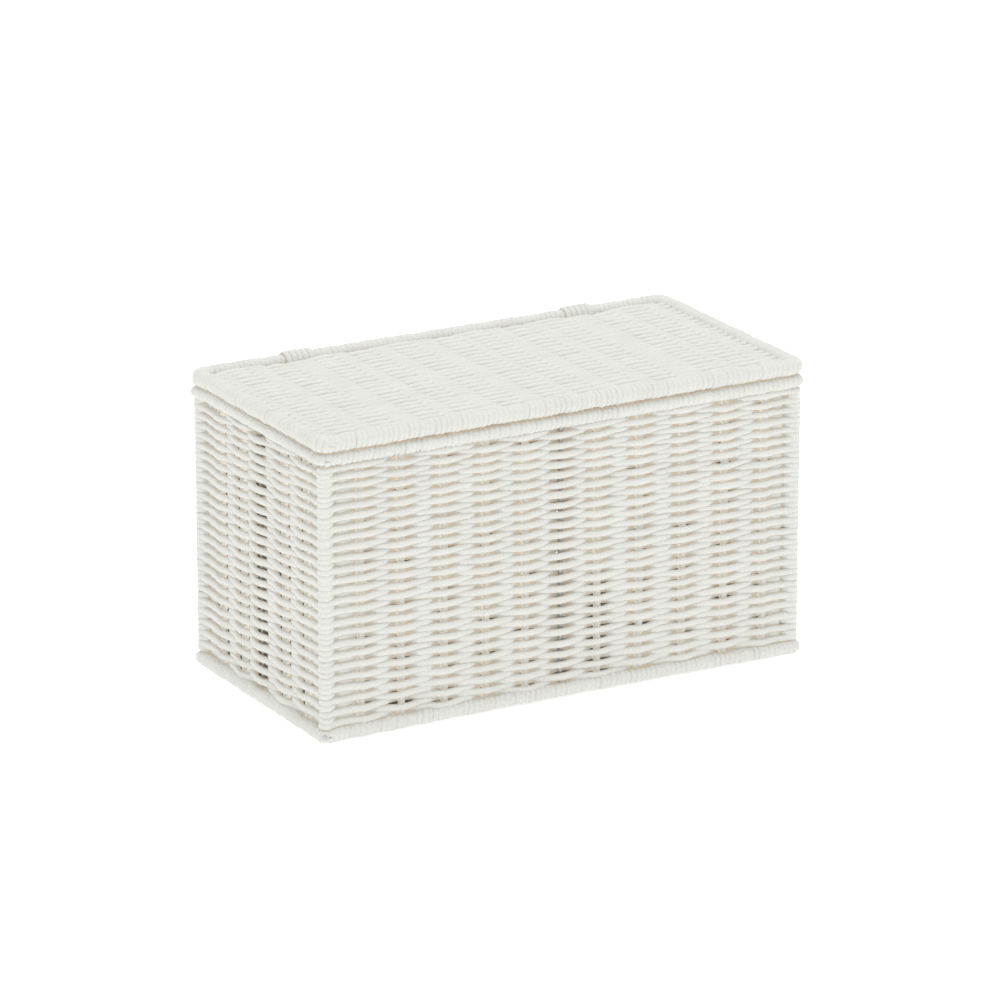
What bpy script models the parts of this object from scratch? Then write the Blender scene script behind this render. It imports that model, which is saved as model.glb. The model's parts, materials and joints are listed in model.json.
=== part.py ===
"""Storage trunk woven from paper rope on a galvanised wire frame, with a flat lid lashed on at the back.

Metres, +Z up, +X along the length, -Y to the front. The origin is at the middle of the bounding box,
on the surface that the base rim stands on. The lid turns about the line through the middle of its
back rim, which runs inside the two hinge lashings.
"""

import math

import bmesh
import bpy
from mathutils import Vector

# Overall sizes, over the rims
LENGTH = 0.400
DEPTH = 0.204
HEIGHT = 0.225

# Rims: rope wrapped round a ring of wire; the lid's rim is round, so that it can turn in the lashings
RIM_DEPTH = 0.013
BASE_RIM_HEIGHT = 0.0102
TOP_RIM_HEIGHT = 0.0095
LID_RIM_SIZE = 0.013
RIM_PROUD = 0.0022
RIM_ROUNDING = 0.0025
LID_RIM_ROUNDING = 0.0055
LID_CORNER_RADIUS = 0.011
WIDEST_ROUNDING = 0.43
LID_GAP = 0.0008

# Woven panels
WEAVE_THICKNESS = 0.0116
BASE_CLEAR_OF_FLOOR = 0.0012

# Frame wires and stakes
RING_WIRE_DIAMETER = 0.0038
STAKE_DIAMETER = 0.0046
BARE_STAKE_DIAMETER = 0.0030
STAKE_BEND_RADIUS = 0.004
STAKE_HEAD_COVER = 0.0022
STAKE_FOOT_COVER = 0.003

# Spaces between stakes, set by eye and so a little uneven, as parts of the row's length:
# along the front from post to post, from the front to the back of an end wall, and along the lid
BODY_STAKE_SPACES = (28.0, 32.2, 34.7, 33.9, 32.2, 28.8, 30.5, 35.0, 36.1, 35.0, 33.7, 23.9)
END_STAKE_SPACES = (26.5, 34.5, 36.5, 28.0, 34.5, 31.0)
LID_STAKE_SPACES = (25.0, 32.0, 37.5, 30.5, 34.0, 36.0, 26.0, 34.0, 31.0, 42.0, 27.0, 32.0)
BARE_BODY_STAKE = 6
BARE_END_STAKE = 3

# Hinge lashings, each between two stakes; their places are parts of the length
HINGE_PLACES = {"left": -0.285, "right": 0.299}
LASHING_WIDTH = 0.0225
LASHING_THICKNESS = 0.002
LASHING_CLEARANCE = 0.0006
LASHING_CORNER = 0.002
WINDOW_CLEARANCE = 0.0005

# Gap between pieces that touch on the real trunk
GAP = 0.0003

# Facets
ROD_SIDES = 8
PASSAGE_SIDES = 6
BEND_STEPS = 3
CORNER_STEPS = 3
ROUNDING_STEPS = 2
LID_ROUNDING_STEPS = 3
LASHING_STEPS = 8

# Colours: linear red, green, blue
ROPE_COLOUR = (0.76, 0.75, 0.70)
STAKE_COLOUR = (0.70, 0.68, 0.62)
WIRE_COLOUR = (0.42, 0.44, 0.46)

# Places worked out from the sizes above
HINGE_RIM_RADIUS = max(LID_RIM_SIZE / 2, RIM_DEPTH - LID_RIM_SIZE / 2)
LASHING_INSIDE = HINGE_RIM_RADIUS + LASHING_CLEARANCE
LASHING_REACH = LASHING_INSIDE + LASHING_THICKNESS
LASHING_PROUD = LASHING_REACH - LID_RIM_SIZE / 2
BACK_Y = (DEPTH - LASHING_PROUD) / 2
FRONT_Y = BACK_Y - DEPTH
MIDDLE_Y = (BACK_Y + FRONT_Y) / 2

POST_INSET = RIM_PROUD + WEAVE_THICKNESS / 2
WEAVE_INNER_INSET = RIM_PROUD + WEAVE_THICKNESS
RING_INSET = POST_INSET - (STAKE_DIAMETER + RING_WIRE_DIAMETER) / 2 - GAP
LID_RING_INSET = LID_RIM_SIZE / 2
PANEL_INSET = max(WEAVE_INNER_INSET, RIM_DEPTH) + GAP

LID_BOTTOM = HEIGHT - LID_RIM_SIZE
LID_MIDDLE = HEIGHT - LID_RIM_SIZE / 2
TOP_RIM_TOP = LID_BOTTOM - LID_GAP
TOP_RIM_BOTTOM = TOP_RIM_TOP - TOP_RIM_HEIGHT
WALL_BOTTOM = BASE_RIM_HEIGHT + GAP
WALL_TOP = TOP_RIM_BOTTOM - GAP
BASE_MIDDLE = BASE_CLEAR_OF_FLOOR + WEAVE_THICKNESS / 2
STAKE_HEAD = TOP_RIM_TOP - STAKE_HEAD_COVER
STAKE_FOOT = STAKE_FOOT_COVER
HINGE_AXIS = Vector((0.0, BACK_Y - LID_RING_INSET, LID_MIDDLE))

X_AXIS = Vector((1, 0, 0))
Y_AXIS = Vector((0, 1, 0))
Z_AXIS = Vector((0, 0, 1))

# Each side of the trunk: its outward direction, its run, and half its length and half the far size
SIDES = {
    "front": (-Y_AXIS, X_AXIS, LENGTH / 2, DEPTH / 2),
    "right": (X_AXIS, Y_AXIS, DEPTH / 2, LENGTH / 2),
    "back": (Y_AXIS, -X_AXIS, LENGTH / 2, DEPTH / 2),
    "left": (-X_AXIS, -Y_AXIS, DEPTH / 2, LENGTH / 2),
}


def spread(low, high, spaces):
    """Positions of the stakes between low and high, with the spaces in the given proportions."""
    passed = [sum(spaces[:count]) for count in range(1, len(spaces))]
    return [low + (high - low) * part / sum(spaces) for part in passed]


def body_stake_places():
    """X of each body stake, counted from the left."""
    reach = LENGTH / 2 - POST_INSET
    return spread(-reach, reach, BODY_STAKE_SPACES)


def end_stake_places():
    """Y of each end stake, counted from the front."""
    reach = DEPTH / 2 - POST_INSET
    return spread(MIDDLE_Y - reach, MIDDLE_Y + reach, END_STAKE_SPACES)


def lid_stake_places():
    """X of each lid stake, counted from the left."""
    reach = LENGTH / 2 - LID_RING_INSET
    return spread(-reach, reach, LID_STAKE_SPACES)


def hinge_places():
    """X of the middle of each lashing."""
    return {side: part * LENGTH for side, part in HINGE_PLACES.items()}


def side_point(side, along, inset):
    """Plan point on a side: along its run from its middle, and inset from the rim's outer face."""
    outward, run, _, reach = SIDES[side]
    return Vector((0, MIDDLE_Y, 0)) + run * along + outward * (reach - inset)


def arc(centre, first, second, radius, start, end, steps):
    """Points on an arc in the plane of the directions first and second, angles in radians."""
    angles = [start + (end - start) * step / steps for step in range(steps + 1)]
    return [centre + (first * math.cos(a) + second * math.sin(a)) * radius for a in angles]


def finish(name, mesh_data, material, parent=None):
    """Turn a bmesh into a named object with its material, its mesh kept where it was built."""
    bmesh.ops.recalc_face_normals(mesh_data, faces=mesh_data.faces)
    mesh = bpy.data.meshes.new(name)
    mesh_data.to_mesh(mesh)
    mesh_data.free()
    mesh.materials.append(material)
    return add_object(name, mesh, parent)


def add_object(name, mesh, parent=None):
    """Link an object to the scene, and keep it in place under its parent."""
    thing = bpy.data.objects.new(name, mesh)
    bpy.context.collection.objects.link(thing)
    if parent is not None:
        thing.parent = parent
        thing.location = -parent.location
    return thing


def smooth(thing, degrees=40):
    """Shade a round piece smooth, with its sharp edges kept."""
    thing.data.shade_smooth()
    thing.data.set_sharp_from_angle(angle=math.radians(degrees))


def make_cutter(name, mesh_data, material):
    """A solid that only cuts others: drawn as wire, and left out of renders."""
    cutter = finish(name, mesh_data, material)
    cutter.hide_render = True
    cutter.display_type = "WIRE"
    return cutter


def cut(thing, *cutters):
    """Take each cutter away from a solid with a Boolean."""
    for cutter in cutters:
        boolean = thing.modifiers.new(cutter.name, "BOOLEAN")
        boolean.operation = "DIFFERENCE"
        boolean.object = cutter
        boolean.solver = "EXACT"


def make_material(name, colour, roughness, metallic):
    """A plain Principled material."""
    material = bpy.data.materials.new(name)
    material.use_nodes = True
    shader = material.node_tree.nodes["Principled BSDF"]
    shader.inputs["Base Color"].default_value = (*colour, 1)
    shader.inputs["Roughness"].default_value = roughness
    shader.inputs["Metallic"].default_value = metallic
    material.diffuse_color = (*colour, 1)
    return material


def add_rod(mesh_data, points, normal, radius, sides, closed=False):
    """Sweep a round rod along points in one plane, mitred at each bend, its flats at the radius."""
    angles = [math.tau * (index + 0.5) / sides for index in range(sides)]
    scale = radius / math.cos(math.pi / sides)
    last = len(points) - 1
    rings = []
    for index, point in enumerate(points):
        behind = points[index - 1] if closed or index > 0 else None
        ahead = points[(index + 1) % len(points)] if closed or index < last else None
        arrive = (point - behind).normalized() if behind is not None else (ahead - point).normalized()
        leave = (ahead - point).normalized() if ahead is not None else arrive
        tangent = (arrive + leave).normalized()
        across = tangent.cross(normal) / tangent.dot(leave)
        spokes = [across * math.cos(a) + normal * math.sin(a) for a in angles]
        rings.append([mesh_data.verts.new(point + spoke * scale) for spoke in spokes])
    pairs = list(zip(rings, rings[1:]))
    if closed:
        pairs.append((rings[-1], rings[0]))
    else:
        mesh_data.faces.new(rings[0])
        mesh_data.faces.new(rings[-1])
    for ring, following in pairs:
        for side in range(sides):
            turn = (side + 1) % sides
            mesh_data.faces.new((ring[side], ring[turn], following[turn], following[side]))


def add_prism(mesh_data, outline, direction):
    """Extrude a closed outline along a direction, and return the first and last faces' edges."""
    base = mesh_data.faces.new([mesh_data.verts.new(point) for point in outline])
    first_edges = list(base.edges)
    grown = bmesh.ops.extrude_face_region(mesh_data, geom=[base], use_keep_orig=True)["geom"]
    moved = [item for item in grown if isinstance(item, bmesh.types.BMVert)]
    bmesh.ops.translate(mesh_data, verts=moved, vec=direction)
    far_edges = [item for item in grown if isinstance(item, bmesh.types.BMEdge)]
    return first_edges + far_edges


def add_box(mesh_data, low, high):
    """A box between two corners."""
    outline = [(low[0], low[1]), (high[0], low[1]), (high[0], high[1]), (low[0], high[1])]
    add_prism(mesh_data, [Vector((x, y, low[2])) for x, y in outline], Z_AXIS * (high[2] - low[2]))


def side_outline(side, outer, inner, corner):
    """Plan outline of one side between two insets, mitred at both corners with half a gap each.

    The outer edge turns on an arc round the corner centre, which lies corner in from both faces.
    """
    half = SIDES[side][2]
    radius = corner - outer
    stop = math.pi / 4 - math.asin(GAP / (2 * radius))
    angles = [stop * step / CORNER_STEPS for step in range(CORNER_STEPS + 1)]
    turn = [(half - corner + radius * math.sin(a), corner - radius * math.cos(a)) for a in angles]
    inner_end = half - inner - GAP / math.sqrt(2)
    points = turn + [(inner_end, inner), (-inner_end, inner)]
    points += [(-along, inset) for along, inset in reversed(turn)]
    return [side_point(side, along, inset) for along, inset in points]


def ring_path(inset, corner, height):
    """Centre line of a closed ring wire, turning round the four corner centres."""
    points = []
    for side in SIDES:
        outward, run, half, _ = SIDES[side]
        centre = side_point(side, half - corner, corner) + Z_AXIS * height
        points += arc(centre, outward, run, corner - inset, 0, math.pi / 2, CORNER_STEPS)
    return points


def body_stake_path(extend):
    """Down the front wall, under the base and up the back wall, in the plane x = 0."""
    path = [Vector((0, FRONT_Y + POST_INSET, STAKE_HEAD + extend))]
    for leg, first in ((FRONT_Y + POST_INSET, -Y_AXIS), (BACK_Y - POST_INSET, -Z_AXIS)):
        towards = STAKE_BEND_RADIUS if leg < MIDDLE_Y else -STAKE_BEND_RADIUS
        centre = Vector((0, leg + towards, BASE_MIDDLE + STAKE_BEND_RADIUS))
        second = -Z_AXIS if leg < MIDDLE_Y else Y_AXIS
        path += arc(centre, first, second, STAKE_BEND_RADIUS, 0, math.pi / 2, BEND_STEPS)
    path.append(Vector((0, BACK_Y - POST_INSET, STAKE_HEAD + extend)))
    return path


def upright_path(extend):
    """A straight stake or post from inside the base rim to inside the top rim."""
    return [Z_AXIS * (STAKE_FOOT - extend), Z_AXIS * (STAKE_HEAD + extend)]


def lid_stake_path(extend):
    """A straight lid stake from the front to the back of the lid ring wire."""
    inset = LID_RING_INSET + RING_WIRE_DIAMETER / 2 + GAP - extend
    return [Vector((0, y, LID_MIDDLE)) for y in (FRONT_Y + inset, BACK_Y - inset)]


def shifted(path, offset):
    """The same path, moved."""
    return [point + offset for point in path]


def corner_posts():
    """Place of each corner post, where the middles of two walls meet."""
    places = {}
    for row, y in (("front", FRONT_Y + POST_INSET), ("back", BACK_Y - POST_INSET)):
        for column, x in (("left", POST_INSET - LENGTH / 2), ("right", LENGTH / 2 - POST_INSET)):
            places[f"{row}_{column}"] = Vector((x, y, 0))
    return places


def end_stakes():
    """Place of each end stake of both short walls."""
    places = {}
    for side, x in (("left", POST_INSET - LENGTH / 2), ("right", LENGTH / 2 - POST_INSET)):
        for number, y in enumerate(end_stake_places(), start=1):
            places[f"{side}_{number}"] = Vector((x, y, 0))
    return places


def rod_object(name, path, normal, diameter, material, parent=None, place=Vector()):
    """One wire, post or stake as an object, placed by its location."""
    mesh_data = bmesh.new()
    add_rod(mesh_data, path, normal, diameter / 2, ROD_SIDES)
    rod = finish(name, mesh_data, material, parent)
    rod.location += place
    smooth(rod)
    return rod


def build_frame(rope, wire, hinge):
    """Ring wires, corner posts and stakes."""
    rings = {
        "base_ring_wire": (RING_INSET, POST_INSET, BASE_RIM_HEIGHT / 2, None),
        "top_ring_wire": (RING_INSET, POST_INSET, (TOP_RIM_BOTTOM + TOP_RIM_TOP) / 2, None),
        "lid_ring_wire": (LID_RING_INSET, LID_CORNER_RADIUS, LID_MIDDLE, hinge),
    }
    clearance = bmesh.new()
    for name, (inset, corner, height, parent) in rings.items():
        path = ring_path(inset, corner, height)
        mesh_data = bmesh.new()
        add_rod(mesh_data, path, Z_AXIS, RING_WIRE_DIAMETER / 2, ROD_SIDES, closed=True)
        smooth(finish(name, mesh_data, wire, parent))
        add_rod(clearance, path, Z_AXIS, RING_WIRE_DIAMETER / 2 + GAP, PASSAGE_SIDES, closed=True)
    ring_clearance = make_cutter("ring_clearance", clearance, rope)

    clearance = bmesh.new()
    fat_radius = STAKE_DIAMETER / 2 + GAP
    for name, place in corner_posts().items():
        rod_object(f"corner_post_{name}", upright_path(0), X_AXIS, STAKE_DIAMETER, rope, place=place)
        add_rod(clearance, shifted(upright_path(GAP), place), X_AXIS, fat_radius, PASSAGE_SIDES)
    for number, x in enumerate(body_stake_places(), start=1):
        bare = number == BARE_BODY_STAKE
        diameter, material = (BARE_STAKE_DIAMETER, wire) if bare else (STAKE_DIAMETER, rope)
        name = f"body_stake_{number:02d}"
        rod_object(name, body_stake_path(0), X_AXIS, diameter, material, place=X_AXIS * x)
        add_rod(clearance, shifted(body_stake_path(GAP), X_AXIS * x), X_AXIS, fat_radius, PASSAGE_SIDES)
    for name, place in end_stakes().items():
        bare = name.endswith(f"_{BARE_END_STAKE}")
        diameter, material = (BARE_STAKE_DIAMETER, wire) if bare else (STAKE_DIAMETER, rope)
        rod_object(f"end_stake_{name}", upright_path(0), X_AXIS, diameter, material, place=place)
        add_rod(clearance, shifted(upright_path(GAP), place), X_AXIS, fat_radius, PASSAGE_SIDES)
    stake_clearance = make_cutter("stake_clearance", clearance, rope)

    clearance = bmesh.new()
    for number, x in enumerate(lid_stake_places(), start=1):
        name = f"lid_stake_{number:02d}"
        rod_object(name, lid_stake_path(0), X_AXIS, STAKE_DIAMETER, rope, hinge, X_AXIS * x)
        add_rod(clearance, shifted(lid_stake_path(GAP), X_AXIS * x), X_AXIS, fat_radius, PASSAGE_SIDES)
    lid_stake_clearance = make_cutter("lid_stake_clearance", clearance, rope)
    return ring_clearance, stake_clearance, lid_stake_clearance


def build_bindings(rope, hinge, ring_clearance, stake_clearance, lid_stake_clearance):
    """Rope bindings of the base, top and lid rims, four to a rim, hollow round the ring wire."""
    lid_rounding = min(LID_RIM_ROUNDING, LID_RIM_SIZE * WIDEST_ROUNDING)
    rims = (
        ("base", 0.0, BASE_RIM_HEIGHT, RIM_DEPTH, POST_INSET, RIM_ROUNDING, ROUNDING_STEPS,
         stake_clearance, None),
        ("top", TOP_RIM_BOTTOM, TOP_RIM_HEIGHT, RIM_DEPTH, POST_INSET, RIM_ROUNDING, ROUNDING_STEPS,
         stake_clearance, None),
        ("lid", LID_BOTTOM, LID_RIM_SIZE, LID_RIM_SIZE, LID_CORNER_RADIUS, lid_rounding,
         LID_ROUNDING_STEPS, lid_stake_clearance, hinge),
    )
    for rim, bottom, height, depth, corner, rounding, steps, stakes, parent in rims:
        for side in SIDES:
            outline = side_outline(side, 0, depth, corner)
            mesh_data = bmesh.new()
            floor = [point + Z_AXIS * bottom for point in outline]
            edges = add_prism(mesh_data, floor, Z_AXIS * height)
            mitres = mitre_directions(side)
            long_edges = [edge for edge in edges if not is_mitre(edge, mitres, depth / 2)]
            bmesh.ops.bevel(mesh_data, geom=long_edges, offset=rounding, segments=steps,
                            profile=0.5, affect="EDGES", clamp_overlap=False)
            binding = finish(f"{rim}_binding_{side}", mesh_data, rope, parent)
            smooth(binding)
            cut(binding, ring_clearance, stakes)


def mitre_directions(side):
    """Directions of the two mitred ends of a side, in plan."""
    outward, run, _, _ = SIDES[side]
    return (outward + run).normalized(), (outward - run).normalized()


def is_mitre(edge, directions, shortest):
    """True for an edge that crosses the rim at a mitred end."""
    span = edge.verts[1].co - edge.verts[0].co
    return span.length > shortest and any(abs(span.normalized().dot(way)) > 0.999 for way in directions)


def build_weaves(rope, hinge, stake_clearance, lid_stake_clearance, lashing_clearance):
    """Woven walls, base and lid, with a passage for each stake."""
    for side in SIDES:
        mesh_data = bmesh.new()
        outline = side_outline(side, RIM_PROUD, WEAVE_INNER_INSET, POST_INSET)
        low = [point + Z_AXIS * WALL_BOTTOM for point in outline]
        add_prism(mesh_data, low, Z_AXIS * (WALL_TOP - WALL_BOTTOM))
        wall = finish(f"wall_weave_{side}", mesh_data, rope)
        cut(wall, stake_clearance)
        if side == "back":
            cut(wall, lashing_clearance)

    panels = (
        ("base_weave", PANEL_INSET, BASE_MIDDLE, None, (stake_clearance,)),
        ("lid_weave", LID_RIM_SIZE + GAP, LID_MIDDLE, hinge, (lid_stake_clearance, lashing_clearance)),
    )
    for name, inset, middle, parent, cutters in panels:
        mesh_data = bmesh.new()
        low = (inset - LENGTH / 2, FRONT_Y + inset, middle - WEAVE_THICKNESS / 2)
        high = (LENGTH / 2 - inset, BACK_Y - inset, middle + WEAVE_THICKNESS / 2)
        add_box(mesh_data, low, high)
        cut(finish(name, mesh_data, rope, parent), *cutters)


def lashing_outline(x, reach, drop, corner):
    """Loop of a lashing seen along the hinge axis: round over the lid rim, square below the top rim."""
    centre = Vector((x, HINGE_AXIS.y, HINGE_AXIS.z))
    points = arc(centre, Y_AXIS, Z_AXIS, reach, 0, math.pi, LASHING_STEPS)
    for way, start in ((-1, math.pi), (1, 1.5 * math.pi)):
        turn = Vector((x, centre.y + way * (reach - corner), drop + corner))
        points += arc(turn, Y_AXIS, Z_AXIS, corner, start, start + math.pi / 2, ROUNDING_STEPS)
    return points


def build_lashings(rope):
    """Turns of rope round both back rims."""
    bottom = TOP_RIM_BOTTOM - LASHING_CLEARANCE
    outer_bottom = bottom - LASHING_THICKNESS
    for side, x in hinge_places().items():
        start = x - LASHING_WIDTH / 2
        outer = lashing_outline(start, LASHING_REACH, outer_bottom, LASHING_CORNER + LASHING_THICKNESS)
        inner = lashing_outline(start, LASHING_INSIDE, bottom, LASHING_CORNER)
        mesh_data = bmesh.new()
        loops = []
        for loop in (outer, inner):
            for offset in (0, LASHING_WIDTH):
                loops.append([mesh_data.verts.new(point + X_AXIS * offset) for point in loop])
        outer_near, outer_far, inner_near, inner_far = loops
        bands = ((outer_near, outer_far), (inner_near, inner_far), (outer_near, inner_near),
                 (outer_far, inner_far))
        for first, second in bands:
            for index in range(len(first)):
                back = index - 1
                mesh_data.faces.new((first[back], first[index], second[index], second[back]))
        finish(f"hinge_lashing_{side}", mesh_data, rope)


def build_lashing_clearance(rope):
    """Boxes that clear the lashings: a window in the lid weave and a notch in the back wall."""
    mesh_data = bmesh.new()
    half = LASHING_WIDTH / 2 + WINDOW_CLEARANCE
    window_front = HINGE_AXIS.y - LASHING_REACH - WINDOW_CLEARANCE
    notch_bottom = TOP_RIM_BOTTOM - LASHING_CLEARANCE - LASHING_THICKNESS - WINDOW_CLEARANCE
    for x in hinge_places().values():
        add_box(mesh_data, (x - half, window_front, LID_BOTTOM - GAP), (x + half, BACK_Y, HEIGHT + GAP))
        add_box(mesh_data, (x - half, BACK_Y - WEAVE_INNER_INSET - RIM_DEPTH, notch_bottom),
                (x + half, BACK_Y + RIM_DEPTH, TOP_RIM_BOTTOM))
    return make_cutter("lashing_clearance", mesh_data, rope)


def main():
    """Clear the scene and build the trunk."""
    for thing in list(bpy.data.objects):
        bpy.data.objects.remove(thing)
    rope = make_material("paper_rope", ROPE_COLOUR, 0.75, 0.0)
    stake_rope = make_material("stake_rope", STAKE_COLOUR, 0.8, 0.0)
    wire = make_material("galvanised_wire", WIRE_COLOUR, 0.4, 1.0)

    hinge = bpy.data.objects.new("lid_hinge_axis", None)
    hinge.location = HINGE_AXIS
    bpy.context.collection.objects.link(hinge)

    ring_clearance, stake_clearance, lid_stake_clearance = build_frame(stake_rope, wire, hinge)
    lashing_clearance = build_lashing_clearance(rope)
    build_bindings(rope, hinge, ring_clearance, stake_clearance, lid_stake_clearance)
    build_weaves(rope, hinge, stake_clearance, lid_stake_clearance, lashing_clearance)
    build_lashings(rope)


main()
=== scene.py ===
"""Looks of a storage trunk woven from white paper rope on a wire frame.

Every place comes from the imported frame. The woven walls, base, lid, rim bindings and hinge lashings
are made strand by strand, because the rope's crossings are the visible shape of the trunk.
"""

import json
import logging
import math
from dataclasses import dataclass, field
from enum import Enum

import bpy
import numpy as np
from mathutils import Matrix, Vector


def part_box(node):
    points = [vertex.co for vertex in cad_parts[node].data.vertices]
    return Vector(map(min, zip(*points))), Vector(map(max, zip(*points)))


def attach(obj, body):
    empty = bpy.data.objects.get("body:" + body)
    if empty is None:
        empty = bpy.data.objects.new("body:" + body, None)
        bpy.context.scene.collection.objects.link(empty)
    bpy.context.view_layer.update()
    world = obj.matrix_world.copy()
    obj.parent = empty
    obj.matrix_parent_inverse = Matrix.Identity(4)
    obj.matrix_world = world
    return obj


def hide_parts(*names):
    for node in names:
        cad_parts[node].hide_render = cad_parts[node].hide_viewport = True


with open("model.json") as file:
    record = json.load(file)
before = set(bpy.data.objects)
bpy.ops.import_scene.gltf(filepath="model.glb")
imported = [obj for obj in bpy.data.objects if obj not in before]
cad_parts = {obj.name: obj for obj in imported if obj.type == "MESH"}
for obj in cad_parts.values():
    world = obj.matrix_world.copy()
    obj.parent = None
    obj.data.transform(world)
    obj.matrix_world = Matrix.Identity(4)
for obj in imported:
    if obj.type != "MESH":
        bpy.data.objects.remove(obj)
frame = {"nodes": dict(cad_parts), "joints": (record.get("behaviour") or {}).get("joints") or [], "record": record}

LOG = logging.getLogger("trunk")
UP = np.array([0.0, 0.0, 1.0])
SWING_HOLD = 0.62  # below 1, a row stays out longer beside a stake
LEVEL_DIP = 0.25  # how far a row sinks in again between stakes that it passes on the same side
LOOSE_FROM, LOOSE_OVER = 0.15, 0.6  # shares of the swing over which the rope comes free of its neighbours
PANEL_GIRTH = 0.09


class Side(Enum):
    """A side of the trunk: its outward direction and its run, anticlockwise seen from above."""

    FRONT = ((0.0, -1.0, 0.0), (1.0, 0.0, 0.0))
    RIGHT = ((1.0, 0.0, 0.0), (0.0, 1.0, 0.0))
    BACK = ((0.0, 1.0, 0.0), (-1.0, 0.0, 0.0))
    LEFT = ((-1.0, 0.0, 0.0), (0.0, -1.0, 0.0))

    @property
    def outward(self) -> np.ndarray:
        """Unit vector out of this side."""
        return np.array(self.value[0])

    @property
    def run(self) -> np.ndarray:
        """Unit vector along this side."""
        return np.array(self.value[1])


def node_box(name: str) -> tuple[np.ndarray, np.ndarray]:
    """Lowest and highest corner of a node.

    Args:
        name: The node's name.

    Returns:
        The two corners as arrays, in metres.
    """
    low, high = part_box(name)
    return np.array(low), np.array(high)


def node_middle(name: str) -> np.ndarray:
    """Middle of a node's box."""
    low, high = node_box(name)
    return (low + high) / 2


def smooth_step(values: np.ndarray) -> np.ndarray:
    """Ease from 0 to 1, flat at both ends."""
    held = np.clip(values, 0.0, 1.0)
    return held * held * (3.0 - 2.0 * held)


def weave_swing(places: np.ndarray, keys: list[float], heights: list[float], reach: float) -> np.ndarray:
    """Swing of a row that passes stakes on one side or the other.

    Between stakes that it passes on opposite sides a row settles into the middle plane; between
    stakes that it passes on the same side it stays out.

    Args:
        places: Where to read the swing.
        keys: Rising places of the stakes.
        heights: The swing at each stake.
        reach: How far from a stake the swing has died away.

    Returns:
        The swing at each place.
    """
    keys_array, heights_array = np.array(keys), np.array(heights)
    index = np.clip(np.searchsorted(keys_array, places) - 1, 0, len(keys) - 2)
    start, end = keys_array[index], keys_array[index + 1]
    before, after = heights_array[index], heights_array[index + 1]
    span = end - start
    share = np.clip((places - start) / span, 0.0, 1.0)
    limit = np.minimum(reach, span / 2)
    near = (0.5 + 0.5 * np.cos(np.pi * np.clip((places - start) / limit, 0.0, 1.0))) ** SWING_HOLD
    far = (0.5 + 0.5 * np.cos(np.pi * np.clip((end - places) / limit, 0.0, 1.0))) ** SWING_HOLD
    level = (before + (after - before) * share) * (1.0 - LEVEL_DIP * np.sin(np.pi * share))
    return np.where(before * after > 0, level, before * near + after * far)


def looseness(swing: np.ndarray) -> np.ndarray:
    """0 where a row is squeezed between its neighbours and 1 where it lies free beside a stake."""
    return smooth_step((np.abs(swing) - LOOSE_FROM) / LOOSE_OVER)


@dataclass
class Wander:
    """Seeded, smooth unevenness over rows and over the length along them."""

    seed: int
    rows: int
    length: float
    cell: float
    row_cell: float = 1.0
    closed: bool = True
    knots: np.ndarray = field(init=False)

    def __post_init__(self) -> None:
        """Draw the knots."""
        along = max(4, round(self.length / self.cell))
        across = int(math.ceil(self.rows / self.row_cell)) + 2
        self.knots = np.random.default_rng(self.seed).uniform(-1.0, 1.0, (across, along))

    def at(self, row: float, places: np.ndarray) -> np.ndarray:
        """Unevenness between -1 and 1 of one row at places along it."""
        count = self.knots.shape[1]
        span = count if self.closed else count - 1
        scaled = places / self.length * span
        first = np.floor(scaled).astype(int)
        share = smooth_step(scaled - first)
        level = row / self.row_cell
        below = int(level)
        lift = smooth_step(np.array(level - below))
        near, far = first % count, (first + 1) % count
        low = self.knots[below, near] * (1 - share) + self.knots[below, far] * share
        high = self.knots[below + 1, near] * (1 - share) + self.knots[below + 1, far] * share
        return low * (1 - lift) + high * lift


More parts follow.
